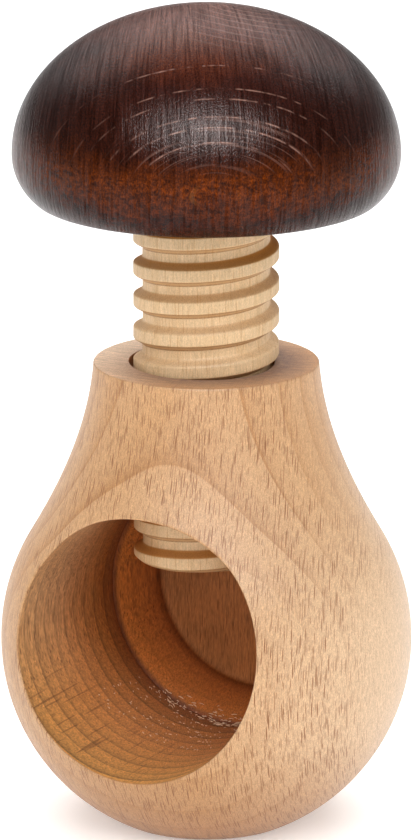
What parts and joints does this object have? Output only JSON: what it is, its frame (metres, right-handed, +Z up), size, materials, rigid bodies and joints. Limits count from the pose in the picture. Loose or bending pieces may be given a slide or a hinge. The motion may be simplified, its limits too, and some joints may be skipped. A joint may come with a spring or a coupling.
{
  "type": "nutcracker",
  "caption": "Wooden mushroom nutcracker: round beech body with an open bored nut chamber, and a threaded wooden screw with a stained domed cap that is turned to press the nut.",
  "frame": {"origin": "centre of the flat base, on the axis that the body is turned about and the screw runs along", "axes": "+Z up along the screw, the nut chamber's mouth faces -Y"},
  "size_m": [0.07, 0.0677, 0.1413],
  "materials": {
    "beech_natural": "fine sanded, untreated beech, matt",
    "beech_pale": "pale beech, thread-cut, matt",
    "beech_stained": "dark brown stain under satin lacquer",
    "beech_dowel": "plain turned dowel, hidden"
  },
  "bodies": {
    "body": {"body": "beech_natural"},
    "dowel": {"dowel": "beech_dowel"},
    "screw": {"spindle": "beech_pale", "cap": "beech_stained"}
  },
  "joints": [
    {"name": "screw_travel", "type": "slide", "parent": "body", "child": "dowel", "axis": [0, 0, 1], "range_m": [-0.0275, 0.0124]},
    {"name": "screw_turn", "type": "hinge", "parent": "dowel", "child": "screw", "pos_m": [0, 0, 0.0804], "axis": [0, 0, 1], "range_deg": [-1780, 792]}
  ],
  "couplings": [
    {"joint": "screw_travel", "follows": "screw_turn", "m_per_rad": 0.00088331}
  ]
}
